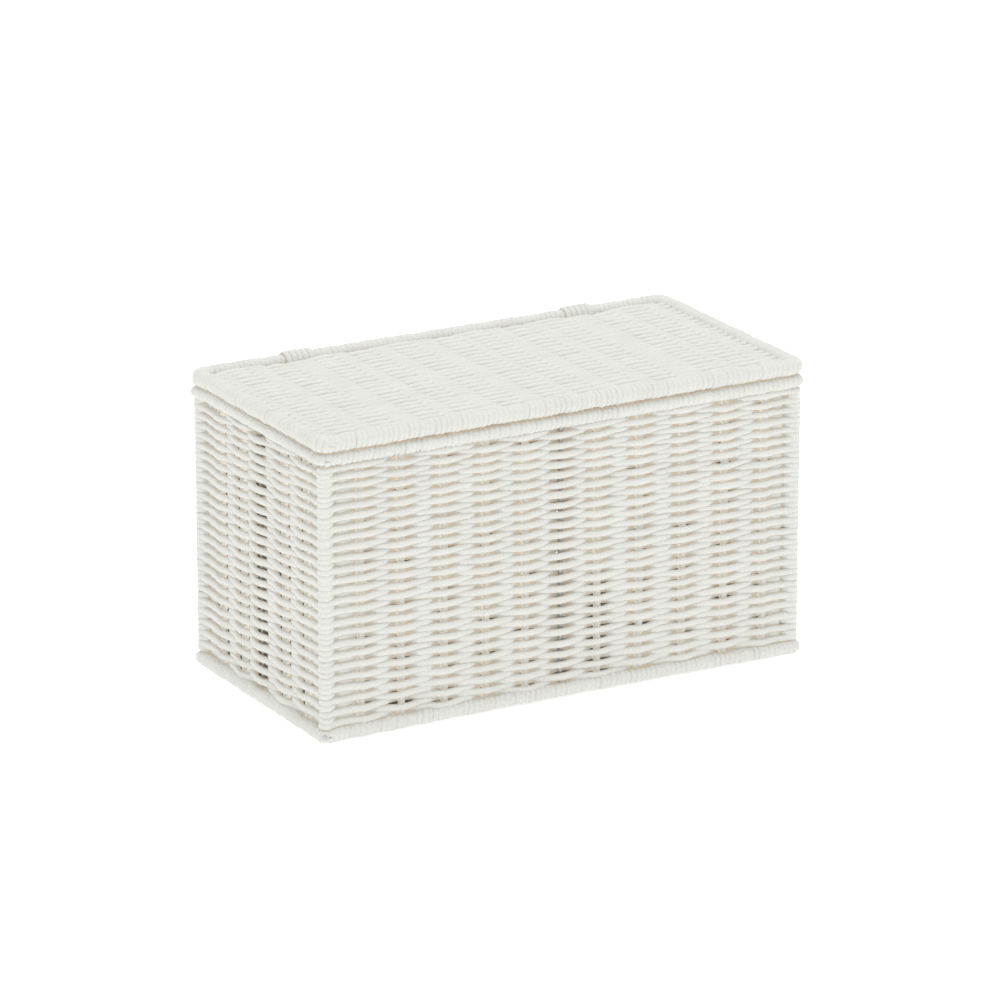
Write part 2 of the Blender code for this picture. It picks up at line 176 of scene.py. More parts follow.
class StrandMesh:
    """Collects round and flattened strands, and makes one mesh of them with a UV map along each.

    U is the length along the strand in centimetres, and V runs once round it.
    """

    def __init__(self, sides: int = 10, roundness: float = 1.0) -> None:
        """Start with no strands.

        Args:
            sides: Faces round a strand.
            roundness: 1 for an oval section, less for one pushed out towards a rectangle.
        """
        self.sides = sides
        self.roundness = roundness
        self.points: list[np.ndarray] = []
        self.quads: list[np.ndarray] = []
        self.quad_uvs: list[np.ndarray] = []
        self.caps: list[np.ndarray] = []
        self.count = 0

    def add(self, path: np.ndarray, facing: np.ndarray, thick: np.ndarray, wide: np.ndarray,
            tangent: np.ndarray | None = None, start: float = 0.0) -> None:
        """Add one strand with closed ends.

        Args:
            path: Centre line, one point per row.
            facing: Direction of the strand's thickness at each point.
            thick: Half thickness along facing at each point.
            wide: Half width across facing at each point.
            tangent: Direction of the strand at each point, worked out from the path if left out.
            start: Length already run before this stretch, so that the twist carries on.
        """
        if tangent is None:
            tangent = np.gradient(path, axis=0)
        tangent = tangent / np.linalg.norm(tangent, axis=1, keepdims=True)
        first = facing - tangent * np.sum(facing * tangent, axis=1, keepdims=True)
        first = first / np.linalg.norm(first, axis=1, keepdims=True)
        second = np.cross(tangent, first)
        angles = np.arange(self.sides) * 2 * np.pi / self.sides
        across, rise = rounded(angles, self.roundness)
        spokes = (first[:, None, :] * (thick[:, None] * across)[:, :, None]
                  + second[:, None, :] * (wide[:, None] * rise)[:, :, None])
        rings = len(path)
        self.points.append((path[:, None, :] + spokes).reshape(-1, 3))

        ids = self.count + np.arange(rings * self.sides).reshape(rings, self.sides)
        turned = np.roll(ids, -1, axis=1)
        self.quads.append(np.stack([ids[:-1], turned[:-1], turned[1:], ids[1:]], axis=2).reshape(-1, 4))
        self.caps += [ids[0, ::-1], ids[-1]]

        steps = np.linalg.norm(np.diff(path, axis=0), axis=1)
        run = (start + np.concatenate([[0.0], np.cumsum(steps)])) * 100.0
        around = np.arange(self.sides) / self.sides
        shape = (rings - 1, self.sides)
        u_low, u_high = (np.broadcast_to(part[:, None], shape) for part in (run[:-1], run[1:]))
        v_low, v_high = (np.broadcast_to(part, shape) for part in (around, around + 1 / self.sides))
        corners = [(u_low, v_low), (u_low, v_high), (u_high, v_high), (u_high, v_low)]
        self.quad_uvs.append(np.stack([np.stack(pair, axis=2) for pair in corners], axis=2).reshape(-1, 2))
        self.count += rings * self.sides

    def build(self, name: str, material: bpy.types.Material) -> bpy.types.Object:
        """Make the object.

        Args:
            name: The piece's name.
            material: Its finish.

        Returns:
            The new object, at the origin, smooth along the strands and sharp at their ends.
        """
        points = np.concatenate(self.points)
        quads = np.concatenate(self.quads)
        caps = np.array(self.caps)
        mesh = bpy.data.meshes.new(name)
        mesh.vertices.add(len(points))
        mesh.vertices.foreach_set("co", points.ravel())
        loops = np.concatenate([quads.ravel(), caps.ravel()])
        mesh.loops.add(len(loops))
        mesh.loops.foreach_set("vertex_index", loops)
        totals = np.concatenate([np.full(len(quads), 4), np.full(len(caps), self.sides)])
        starts = np.concatenate([[0], np.cumsum(totals)[:-1]])
        mesh.polygons.add(len(totals))
        mesh.polygons.foreach_set("loop_start", starts)
        mesh.polygons.foreach_set("loop_total", totals)
        uvs = np.zeros((len(loops), 2))
        uvs[:quads.size] = np.concatenate(self.quad_uvs)
        layer = mesh.uv_layers.new(name="strand")
        layer.data.foreach_set("uv", uvs.ravel())
        mesh.update(calc_edges=True)
        mesh.validate()
        mesh.shade_smooth()
        mesh.set_sharp_from_angle(angle=math.radians(65))
        mesh.materials.append(material)
        thing = bpy.data.objects.new(name, mesh)
        bpy.context.collection.objects.link(thing)
        return thing


class Shader:
    """A short way to write a material's nodes."""

    def __init__(self, name: str) -> None:
        """Make the material with a Principled shader."""
        self.material = bpy.data.materials.new(name)
        self.material.use_nodes = True
        self.nodes = self.material.node_tree.nodes
        self.links = self.material.node_tree.links
        self.principled = self.nodes["Principled BSDF"]

    def add(self, kind: str, inputs: dict[str, object] | None = None, **settings: object) -> bpy.types.Node:
        """Add a node, set it up and link or fill its inputs.

        Args:
            kind: The node's type, without its ShaderNode prefix.
            inputs: Values or output sockets by input name or number.
            **settings: The node's own options.

        Returns:
            The new node.
        """
        node = self.nodes.new("ShaderNode" + kind)
        for option, value in settings.items():
            setattr(node, option, value)
        for place, value in (inputs or {}).items():
            self.feed(node, place, value)
        return node

    def feed(self, node: bpy.types.Node, place: object, value: object) -> None:
        """Link a socket to a node's input, or fill the input with a value."""
        if isinstance(value, bpy.types.NodeSocket):
            self.links.new(value, node.inputs[place])
        else:
            node.inputs[place].default_value = value

    def sum_of(self, kind: str, *terms: object) -> bpy.types.NodeSocket:
        """Result of a Math node with two or three terms."""
        return self.add("Math", dict(enumerate(terms)), operation=kind).outputs[0]

    def mix(self, share: bpy.types.NodeSocket, first: object, second: object) -> bpy.types.NodeSocket:
        """Colour between two others, by a share from 0 to 1."""
        node = self.add("Mix", {"Factor": share}, data_type="RGBA")
        self.feed(node, 6, first)
        self.feed(node, 7, second)
        return node.outputs[2]

    def dress(self, values: dict[str, object]) -> bpy.types.Material:
        """Fill or link the Principled shader's sockets by name, and give the material back."""
        for place, value in values.items():
            self.feed(self.principled, place, value)
        return self.material


@dataclass(frozen=True)
class RopeFinish:
    """Matt white rope twisted from paper: fine spiral creases, darkened by painted shade, and slight random
    changes of tone.

    The deep places, found with an ambient-occlusion mask, are painted a shaded tan and given a painted glow.
    """

    name: str
    light: tuple[float, float, float]
    dark: tuple[float, float, float]
    roughness: float = 0.7
    turns_per_cm: float = 1.6
    crease_depth: float = 0.00022
    # The tan colour below is painted shade laid into the hollows; hollow_depth, hollow_shade and open_shade set
    # the ambient-occlusion mask that finds them, and glow is a painted glow given off there.
    painted_shade_tan: tuple[float, float, float] = (0.68, 0.595, 0.48)
    hollow_depth: float = 0.012
    hollow_shade: float = 0.05
    open_shade: float = 0.33
    glow: float = 0.35

    def material(self) -> bpy.types.Material:
        """Build the material."""
        shader = Shader(self.name)
        uv = shader.add("UVMap", uv_map="strand")
        parts = shader.add("SeparateXYZ", {0: uv.outputs[0]})
        place = shader.add("TexCoord")
        drift = shader.add("TexNoise", {"Vector": place.outputs["Object"], "Scale": 260.0, "Detail": 2.0})
        along = shader.sum_of("MULTIPLY", parts.outputs["X"], self.turns_per_cm)
        turn = shader.sum_of("ADD", along, parts.outputs["Y"])
        bent = shader.sum_of("MULTIPLY_ADD", drift.outputs["Fac"], 0.9, turn)
        angle = shader.sum_of("MULTIPLY", bent, math.tau * 2)
        wave = shader.sum_of("SINE", angle, 0.0)
        ridge = shader.sum_of("MULTIPLY_ADD", wave, 0.5, 0.5)

        fibre = shader.add("TexNoise", {"Vector": place.outputs["Object"], "Scale": 1500.0, "Detail": 3.0})
        patch = shader.add("TexNoise", {"Vector": place.outputs["Object"], "Scale": 45.0, "Detail": 3.0})
        shade = shader.add("MapRange", {"Value": patch.outputs["Fac"], "From Min": 0.3, "From Max": 0.7})
        # Painted shade: the creases between the twist's ridges are coloured darker.
        painted_crease_shade = shader.add("MapRange", {"Value": ridge, "From Min": 0.0, "From Max": 0.35})
        mixed = shader.sum_of("MULTIPLY", shade.outputs[0], 0.55)
        amount = shader.sum_of("MULTIPLY_ADD", painted_crease_shade.outputs[0], 0.45, mixed)
        colour = shader.mix(amount, (*self.dark, 1), (*self.light, 1))

        # Ambient-occlusion mask that places the painted shade in the hollows.
        shelter = shader.add("AmbientOcclusion", {"Distance": self.hollow_depth}, samples=6)
        open_sky = shader.add("MapRange", {"Value": shelter.outputs["AO"], "From Min": self.hollow_shade,
                                           "From Max": self.open_shade})
        # Near the floor the painted shade is left off.
        level = shader.add("SeparateXYZ", {0: place.outputs["Object"]})
        near_floor = shader.add("MapRange", {"Value": level.outputs["Z"], "From Min": 0.004,
                                             "From Max": 0.009, "To Min": 1.0, "To Max": 0.0})
        open_sky = shader.sum_of("MAXIMUM", open_sky.outputs[0], near_floor.outputs[0])
        # Painted shade: sheltered places take the tan colour.
        colour_with_painted_shade = shader.mix(open_sky, (*self.painted_shade_tan, 1), colour)
        # Painted glow: the same sheltered places give off tan light, strongest where the mask is darkest.
        painted_glow_strength = shader.add("MapRange", {"Value": open_sky, "To Min": self.glow, "To Max": 0.0})

        height = shader.sum_of("MULTIPLY_ADD", fibre.outputs["Fac"], 0.25, ridge)
        bump = shader.add("Bump", {"Height": height, "Strength": 0.6, "Distance": self.crease_depth})
        return shader.dress({"Base Color": colour_with_painted_shade, "Emission Color": (*self.painted_shade_tan, 1),
                             "Emission Strength": painted_glow_strength.outputs[0], "Normal": bump.outputs[0],
                             "Roughness": self.roughness, "Specular IOR Level": 0.3})


@dataclass(frozen=True)
class WireFinish:
    """Galvanised steel wire: grey, with a faint spangle and dull patches."""

    name: str = "galvanised_zinc"
    colour: tuple[float, float, float] = (0.50, 0.52, 0.54)

    def material(self) -> bpy.types.Material:
        """Build the material."""
        shader = Shader(self.name)
        place = shader.add("TexCoord")
        spangle = shader.add("TexVoronoi", {"Vector": place.outputs["Object"], "Scale": 420.0})
        dull = shader.add("TexNoise", {"Vector": place.outputs["Object"], "Scale": 180.0, "Detail": 4.0})
        rough = shader.add("MapRange", {"Value": dull.outputs["Fac"], "To Min": 0.28, "To Max": 0.55})
        level = shader.add("MapRange", {"Value": spangle.outputs["Distance"],
                                        "To Min": 0.85, "To Max": 1.1})
        colour = shader.add("HueSaturation", {"Color": (*self.colour, 1), "Value": level.outputs[0]})
        bump = shader.add("Bump", {"Height": dull.outputs["Fac"], "Strength": 0.25, "Distance": 0.0001})
        return shader.dress({"Base Color": colour.outputs[0], "Roughness": rough.outputs[0],
                             "Normal": bump.outputs[0], "Metallic": 1.0})


@dataclass(frozen=True)
class FloorFinish:
    """Seamless white studio floor, which glows a little so that shadows stay faint."""

    name: str = "studio_floor"
    colour: tuple[float, float, float] = (0.95, 0.95, 0.95)
    glow: float = 0.38

    def material(self) -> bpy.types.Material:
        """Build the material."""
        return Shader(self.name).dress({
            "Base Color": (*self.colour, 1), "Roughness": 0.9, "Specular IOR Level": 0.0,
            "Emission Color": (1.0, 1.0, 1.0, 1.0), "Emission Strength": self.glow})


@dataclass
class TrunkPlan:
    """Main lines of the trunk, read from the frame."""

    low: np.ndarray = field(init=False)
    high: np.ndarray = field(init=False)
    middle: np.ndarray = field(init=False)
    post_inset: float = field(init=False)
    wall_low: float = field(init=False)
    wall_high: float = field(init=False)
    lid_axis: np.ndarray = field(init=False)

    def __post_init__(self) -> None:
        """Read the rims, the posts and the hinge."""
        boxes = [node_box(f"base_binding_{side.name.lower()}") for side in Side]
        self.low = np.min([box[0] for box in boxes], axis=0)
        self.high = np.max([box[1] for box in boxes], axis=0)
        self.middle = (self.low + self.high) / 2
        self.post_inset = float(node_middle("corner_post_front_left")[0] - self.low[0])
        wall = node_box("wall_weave_front")
        self.wall_low, self.wall_high = float(wall[0][2]), float(wall[1][2])
        self.lid_axis = np.array(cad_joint("lid_hinge")["pos_m"])

    def half(self, side: Side) -> float:
        """Half the length of a side, over the rims."""
        return float(abs(np.dot((self.high - self.low) / 2, side.run)))

    def reach(self, side: Side) -> float:
        """Distance from the middle to a side's outer face."""
        return float(abs(np.dot((self.high - self.low) / 2, side.outward)))

    def point(self, side: Side, along: np.ndarray, inset: np.ndarray) -> np.ndarray:
        """Plan points on a side, at height 0.

        Args:
            side: The side.
            along: Distance from the side's middle along its run.
            inset: Distance in from the rim's outer face.

        Returns:
            One point per row.
        """
        middle = np.array([self.middle[0], self.middle[1], 0.0])
        along, inset = np.broadcast_arrays(np.asarray(along, float), np.asarray(inset, float))
        return middle + along[:, None] * side.run + (self.reach(side) - inset)[:, None] * side.outward

    def stakes(self, side: Side) -> list[float]:
        """Places of a side's stakes along its run, rising."""
        if side in (Side.FRONT, Side.BACK):
            names = [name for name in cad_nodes() if name.startswith("body_stake_")]
        else:
            names = [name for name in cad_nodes() if name.startswith(f"end_stake_{side.name.lower()}_")]
        return sorted(float(np.dot(node_middle(name) - self.middle, side.run)) for name in names)


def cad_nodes() -> list[str]:
    """Names of all the frame's nodes, in order."""
    return sorted(frame["nodes"])


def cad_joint(name: str) -> dict:
    """One joint of the frame by its name."""
    return next(joint for joint in frame["joints"] if joint["name"] == name)


@dataclass
class RopeSize:
    """Half sizes of the weaving rope, where it lies free and where it is squeezed between rows."""

    tall: float = 0.0029
    deep: float = 0.0020
    squeezed_deep: float = 0.0029
    squeeze: float = 0.64

    def half_sizes(self, pitch: float, loose: np.ndarray,
                   free: np.ndarray | float) -> tuple[np.ndarray, np.ndarray]:
        """Half depth and half height of a row, from squeezed to free."""
        deep = self.squeezed_deep * (1 - loose) + self.deep * loose
        return deep, pitch * self.squeeze * (1 - loose) + free * loose


@dataclass
class WallWeave:
    """The four woven walls: rings of rope, over and under the stakes and outside the corner posts."""

    plan: TrunkPlan
    rope: RopeSize = field(default_factory=lambda: RopeSize(tall=0.0026))
    inner_tall: float = 0.0034
    swing: float = 0.0037
    wave_reach: float = 0.0150
    post_side: float = 0.0080
    post_out: float = 0.45
    post_in: float = -0.7
    settle_share: float = 0.52
    settle_fade: float = 0.5
    bottom_pitch: float = 0.0043
    top_pitch: float = 0.0036
    bottom_margin: float = 0.0019
    top_margin: float = 0.0002
    spacing: float = 0.0025
    corner_steps: int = 6
    drift: float = 0.0007
    jitter: float = 0.0005
    sway: float = 0.00025
    girth: float = 0.10
    foot_rows: float = 4.0
    foot_wander: float = 0.0007
    top_rows: float = 2.0
    edge_hold: float = 0.6
    slack_stake: int = 6
    slack_rows: int = 16
    slack_depth: float = 0.15
    slack_reach: float = 0.012
    press: float = 0.0026
    press_depth: float = 0.022
    press_fade: float = 0.010
    twist_shift: float = 0.004

    def rows(self) -> tuple[np.ndarray, np.ndarray]:
        """Heights of the rows and the pitch at each, from the bottom up."""
        low = self.plan.wall_low + self.bottom_margin
        high = self.plan.wall_high - self.top_margin
        count = round((high - low) / ((self.bottom_pitch + self.top_pitch) / 2)) + 1
        share = (np.arange(count - 1) + 0.5) / (count - 1)
        steps = self.bottom_pitch + (self.top_pitch - self.bottom_pitch) * share
        heights = low + np.concatenate([[0.0], np.cumsum(steps)]) * (high - low) / steps.sum()
        return heights, np.gradient(heights)

    def loop(self) -> list[tuple[Side, np.ndarray, np.ndarray, np.ndarray]]:
        """The loop round the trunk in stretches.

        Returns:
            For each side: the side, plan points in the stakes' plane, outward directions, and the
            place along the side's run of each point; each side ends with its corner's arc.
        """
        stretches = []
        inset = self.plan.post_inset
        for side in Side:
            end = self.plan.half(side) - inset
            count = max(4, round(2 * end / self.spacing))
            along = np.linspace(-end, end, count + 1)
            points = self.plan.point(side, along, inset)
            outward = np.repeat(side.outward[None, :], len(along), axis=0)
            turn = np.linspace(0.0, np.pi / 2, self.corner_steps + 1)[1:-1]
            fan = np.cos(turn)[:, None] * side.outward + np.sin(turn)[:, None] * side.run
            stretches.append((side, np.vstack([points, np.repeat(points[-1:], len(turn), axis=0)]),
                              np.vstack([outward, fan]), np.concatenate([along, np.full(len(turn), end)])))
        return stretches

    def lashing_press(self, side: Side, along: np.ndarray, depth_below_top: float) -> np.ndarray:
        """How far a row is pressed down under the lashings at a place on the back wall."""
        if side is not Side.BACK:
            return np.zeros(len(along))
        fade = max(0.0, 1.0 - depth_below_top / self.press_depth)
        total = np.zeros(len(along))
        for name in ("left", "right"):
            low, high = node_box(f"hinge_lashing_{name}")
            centre = float(np.dot((low + high) / 2 - self.plan.middle, side.run))
            half = float(high[0] - low[0]) / 2
            total += smooth_step((half + self.press_fade - np.abs(along - centre)) / self.press_fade)
        return self.press * fade * total

    def slack(self, side: Side, along: np.ndarray, row: int) -> np.ndarray:
        """How much thinner the rope lies in the loose spot low on the front wall."""
        if side is not Side.FRONT or row > self.slack_rows:
            return np.zeros(len(along))
        centre = self.plan.stakes(side)[self.slack_stake]
        return self.slack_depth * np.exp(-((along - centre) / self.slack_reach) ** 2)

    def build(self, material: bpy.types.Material) -> dict[Side, bpy.types.Object]:
        """Weave the walls.

        Args:
            material: The rope's finish.

        Returns:
            One piece for each side.
        """
        heights, pitches = self.rows()
        stretches = self.loop()
        meshes = {side: StrandMesh(roundness=0.8) for side in Side}
        lengths = [len(stretch[3]) for stretch in stretches]
        rest = np.vstack([stretch[1] + stretch[2] * self.swing for stretch in stretches])
        steps = np.linalg.norm(np.diff(np.vstack([rest, rest[:1]]), axis=0), axis=1)
        run = np.concatenate([[0.0], np.cumsum(steps)[:-1]])
        total = float(steps.sum())
        drift = Wander(11, len(heights), total, 0.060, 3.0)
        jitter = Wander(12, len(heights), total, 0.013)
        girth = Wander(13, len(heights), total, 0.022)
        sway = Wander(14, len(heights), total, 0.030)
        low_wander = Wander(15, len(heights), total, 0.034)
        outward = np.vstack([stretch[2] for stretch in stretches])
        plan = np.vstack([stretch[1] for stretch in stretches])
        for row, (height, pitch) in enumerate(zip(heights, pitches)):
            swings, pressed, slacks = [], [], []
            passed = row
            for side, _, _, along in stretches:
                stakes = self.plan.stakes(side)
                end = self.plan.half(side) - self.plan.post_inset
                signs = [1.0 if (passed + number) % 2 == 0 else -1.0 for number in range(len(stakes))]
                passed += len(stakes)
                dips = [self.post_out if sign > 0 else self.post_in for sign in (signs[0], signs[-1])]
                first = self.settle_share * (stakes[0] + end) - end
                last = end - self.settle_share * (end - stakes[-1])
                keys = [-end, self.post_side - end, first, *stakes, last, end - self.post_side, end]
                sides = [1.0, dips[0], dips[0] * self.settle_fade, *signs,
                         dips[1] * self.settle_fade, dips[1], 1.0]
                swings.append(weave_swing(along, keys, sides, self.wave_reach))
                slacks.append(self.slack(side, along, row))
                pressed.append(self.lashing_press(side, along, heights[-1] - height))
            swing = np.concatenate(swings)
            loose = looseness(swing)
            foot = max(0.0, 1.0 - row / self.foot_rows)
            top = max(0.0, 1.0 - (len(heights) - 1 - row) / self.top_rows)
            held = 1.0 - self.edge_hold * max(foot, top)
            z = (height + drift.at(row, run) * self.drift * held + jitter.at(row, run) * self.jitter
                 + low_wander.at(row, run) * self.foot_wander * foot - np.concatenate(pressed))
            reach = self.swing * swing + sway.at(row, run) * self.sway
            path = plan + outward * reach[:, None]
            path[:, 2] = z
            size = (1.0 + self.girth * girth.at(row, run)) * (1.0 - np.concatenate(slacks))
            free = np.where(swing > 0.0, self.rope.tall, self.inner_tall)
            deep, tall = self.rope.half_sizes(pitch, loose, free)
            self.split(meshes, path, outward, deep * size, tall * size, lengths)
        return {side: meshes[side].build(f"{side.name.lower()}_wall_rope", material) for side in Side}

    def split(self, meshes: dict[Side, StrandMesh], path: np.ndarray, outward: np.ndarray,
              deep: np.ndarray, tall: np.ndarray, lengths: list[int]) -> None:
        """Share one ring of rope among the walls, the corners going to the front and the back.

        Args:
            meshes: The strands of each side so far.
            path: The ring's points.
            outward: Outward direction at each point.
            deep: Half depth at each point.
            tall: Half height at each point.
            lengths: Number of points of each side's stretch.
        """
        ends = np.cumsum([0, *lengths])
        corner = self.corner_steps - 1
        total = len(path)
        closed = np.vstack([path[-1:], path, path[:1]])
        tangent = closed[2:] - closed[:-2]
        spans = {
            Side.FRONT: (ends[0] - corner - 1, ends[1]),
            Side.RIGHT: (ends[1], ends[2] - corner - 1),
            Side.BACK: (ends[2] - corner - 1, ends[3]),
            Side.LEFT: (ends[3], ends[4] - corner - 1),
        }
        for side, (first, last) in spans.items():
            ids = np.arange(first, last + 1) % total
            meshes[side].add(path[ids], outward[ids], deep[ids], tall[ids], tangent[ids],
                             start=self.twist_shift * first)


@dataclass
class FlatWeave:
    """A woven panel that lies flat: rows along the length, over and under stakes from front to back."""

    name: str
    stake_prefix: str
    height: float
    x_ends: tuple[float, float]
    y_ends: tuple[float, float]
    seed: int
    end_swing: float = 1.0
    rope: RopeSize = field(default_factory=RopeSize)
    swing: float = 0.0034
    dip: float = 0.0034
    wave_reach: float = 0.0115
    pitch: float = 0.00415
    spacing: float = 0.0028
    drift: float = 0.0006
    jitter: float = 0.0004
    edge_rows: float = 3.0
    edge_hold: float = 0.7
    push_reach: float = 0.012
    push_depth: float = 0.022
    gaps: dict[str, tuple[float, float, float]] = field(default_factory=dict)

    def push(self, x: np.ndarray, y: float) -> np.ndarray:
        """How far a row gives way to the lashings, towards the front."""
        total = np.zeros(len(x))
        for centre, half, back in self.gaps.values():
            near = smooth_step((half + self.push_reach - np.abs(x - centre)) / self.push_reach)
            fade = max(0.0, 1.0 - (self.y_ends[1] - y) / self.push_depth)
            total += back * near * fade
        return total

    def build(self, material: bpy.types.Material) -> bpy.types.Object:
        """Weave the panel.

        Args:
            material: The rope's finish.

        Returns:
            The panel as one piece.
        """
        low, high = self.y_ends
        count = round((high - low) / self.pitch) + 1
        rows = np.linspace(low, high, count)
        pitch = (high - low) / (count - 1)
        length = self.x_ends[1] - self.x_ends[0]
        x = np.linspace(*self.x_ends, max(4, round(length / self.spacing)) + 1)
        run = x - self.x_ends[0]
        stakes = sorted(float(node_middle(name)[0]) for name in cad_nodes()
                        if name.startswith(self.stake_prefix))
        drift = Wander(self.seed, count, length, 0.055, 3.0, closed=False)
        jitter = Wander(self.seed + 1, count, length, 0.013, closed=False)
        girth = Wander(self.seed + 2, count, length, 0.022, closed=False)
        mesh = StrandMesh(roundness=0.8)
        for row, y in enumerate(rows):
            signs = [1.0 if (row + number) % 2 else -1.0 for number in range(len(stakes) + 2)]
            signs[0] *= self.end_swing
            signs[-1] *= self.end_swing
            swing = weave_swing(x, [self.x_ends[0], *stakes, self.x_ends[1]], signs, self.wave_reach)
            loose = looseness(swing)
            edge = max(0.0, 1.0 - min(row, count - 1 - row) / self.edge_rows)
            place = (y + drift.at(row, run) * self.drift * (1 - self.edge_hold * edge)
                     + jitter.at(row, run) * self.jitter - self.push(x, y))
            rise = self.swing * np.maximum(swing, 0.0) + self.dip * np.minimum(swing, 0.0)
            path = np.stack([x, place, self.height + rise], axis=1)
            size = 1.0 + PANEL_GIRTH * girth.at(row, run)
            deep, tall = self.rope.half_sizes(pitch, loose, self.rope.tall)
            mesh.add(path, np.repeat(UP[None, :], len(x), axis=0), deep * size, tall * size)
        return mesh.build(self.name, material)


@dataclass
class RimBinding:
    """Rope wound round a rim: one long helix that fans out at the corners."""

    plan: TrunkPlan
    rim: str
    seed: int
    outer_corner: float
    half_thick: float = 0.0018
    half_wide: float = 0.0028
    pitch: float = 0.0042
    steps_per_turn: int = 14
    bulge: float = 0.0004
    skew: float = 0.0004
    inner_radius: float = 0.0016
    side_lean: float = 0.8
    width_spread: float = 0.14
    thick_spread: float = 0.12
    droop_shift: float = 0.3
    rear_inset: float = 0.014
    rear_reach: float = 0.016
    sag: float = 0.0
    lift: float = 0.0
    back_lift: float = 0.0
    rear_lift: float = 0.0
    slimmer: float = 0.0

    def build(self, material: bpy.types.Material) -> bpy.types.Object:
        """Wind the binding.

        Args:
            material: The rope's finish.

        Returns:
            The binding of the whole rim as one piece.
        """
        low, high = node_box(f"{self.rim}_binding_front")
        side_low, side_high = node_box(f"{self.rim}_binding_left")
        depth = float(side_high[0] - side_low[0])
        outer = self.half_thick
        inner = depth - self.half_thick
        outer_line, inner_line, outward = self.lines(outer, inner)
        steps = np.linalg.norm(np.diff(outer_line, axis=0), axis=1)
        run = np.concatenate([[0.0], np.cumsum(steps)])
        turns = round(run[-1] / self.pitch)
        points = turns * self.steps_per_turn
        turn = np.arange(points + 1) / self.steps_per_turn
        angle = turn * 2 * np.pi
        lean = Wander(self.seed, 1, turns, 1.0).at(0, turn) * self.skew
        place = np.clip(turn * run[-1] / turns + lean, 0.0, run[-1])
        out_point = np.stack([np.interp(place, run, outer_line[:, k]) for k in range(3)], axis=1)
        in_point = np.stack([np.interp(place, run, inner_line[:, k]) for k in range(3)], axis=1)
        away = np.stack([np.interp(place, run, outward[:, k]) for k in range(3)], axis=1)
        away /= np.linalg.norm(away, axis=1, keepdims=True)
        swell = Wander(self.seed + 1, 1, turns, 1.3).at(0, turn) * self.bulge
        across, rise = rounded(angle)
        share = (1.0 + across) / 2
        path = in_point * (1 - share)[:, None] + out_point * share[:, None]
        slimmer = self.slimmer * self.ahead(path)
        half_height = (high[2] - low[2] - slimmer) / 2 - self.half_thick
        path[:, 2] = (high[2] + low[2] + slimmer) / 2 + rise * half_height
        facing = away * across[:, None] * self.side_lean + UP * rise[:, None]
        facing /= np.linalg.norm(facing, axis=1, keepdims=True)
        path += facing * swell[:, None]
        path[:, 2] += self.droop(path)
        path[:, 2] = np.maximum(path[:, 2], self.half_thick)
        wider = Wander(self.seed + 2, 1, turns, 0.9).at(0, turn)
        thicker = Wander(self.seed + 3, 1, turns, 0.7).at(0, turn)
        width = self.half_wide * (1.0 + self.width_spread * wider)
        thick = self.half_thick * (1.0 + self.thick_spread * thicker)
        mesh = StrandMesh(sides=8, roundness=0.9)
        mesh.add(path, facing, thick, width)
        return mesh.build(f"{self.rim}_rim_rope", material)

    def droop(self, path: np.ndarray) -> np.ndarray:
        """Change of height along the rim, so that it bows a little between its corners."""
        half = (self.plan.high - self.plan.low) / 2
        x = (path[:, 0] - self.plan.middle[0]) / half[0]
        y = (path[:, 1] - self.plan.middle[1]) / half[1]
        bow = np.maximum(0.0, 1.0 - x ** 2) + np.maximum(0.0, 1.0 - y ** 2) * 0.5
        lift = self.lift + (self.back_lift - self.lift) * np.clip((y + 1.0) / 2.0, 0.0, 1.0)
        lift = self.rear_lift + (lift - self.rear_lift) * self.ahead(path)
        return -self.sag * (np.clip(bow, 0.0, 1.0) - self.droop_shift) + lift

    def ahead(self, path: np.ndarray) -> np.ndarray:
        """0 along the back rim, where the open lid comes to rest, and 1 well ahead of it."""
        return smooth_step((self.plan.high[1] - self.rear_inset - path[:, 1]) / self.rear_reach)

    def lines(self, outer: float, inner: float) -> tuple[np.ndarray, np.ndarray, np.ndarray]:
        """Matching lines round the rim's outer and inner faces.

        Args:
            outer: Inset of the outer line.
            inner: Inset of the inner line.

        Returns:
            Points of the outer line, points of the inner line, and outward directions.
        """
        outer_points, inner_points, away = [], [], []
        corner = self.outer_corner
        inner_corner = inner + self.inner_radius
        for side in Side:
            half = self.plan.half(side)
            share = np.linspace(-1.0, 1.0, 60)
            outer_points.append(self.plan.point(side, share * (half - corner), outer))
            inner_points.append(self.plan.point(side, share * (half - inner_corner), inner))
            away.append(np.repeat(side.outward[None, :], len(share), axis=0))
            turn = np.linspace(0.0, np.pi / 2, 9)[1:-1]
            fan = np.cos(turn)[:, None] * side.outward + np.sin(turn)[:, None] * side.run
            middle = self.plan.point(side, np.array([half - corner]), np.array([corner]))
            outer_points.append(middle + fan * (corner - outer))
            middle = self.plan.point(side, np.array([half - inner_corner]), np.array([inner_corner]))
            inner_points.append(middle + fan * self.inner_radius)
            away.append(fan)
        lines = [np.vstack(part) for part in (outer_points, inner_points, away)]
        return tuple(np.vstack([line, line[:1]]) for line in lines)


def rounded(angle: np.ndarray, power: float = 0.7) -> tuple[np.ndarray, np.ndarray]:
    """A circle pushed out a little towards a square, as a soft rim's section is."""
    across, rise = np.cos(angle), np.sin(angle)
    return np.sign(across) * np.abs(across) ** power, np.sign(rise) * np.abs(rise) ** power


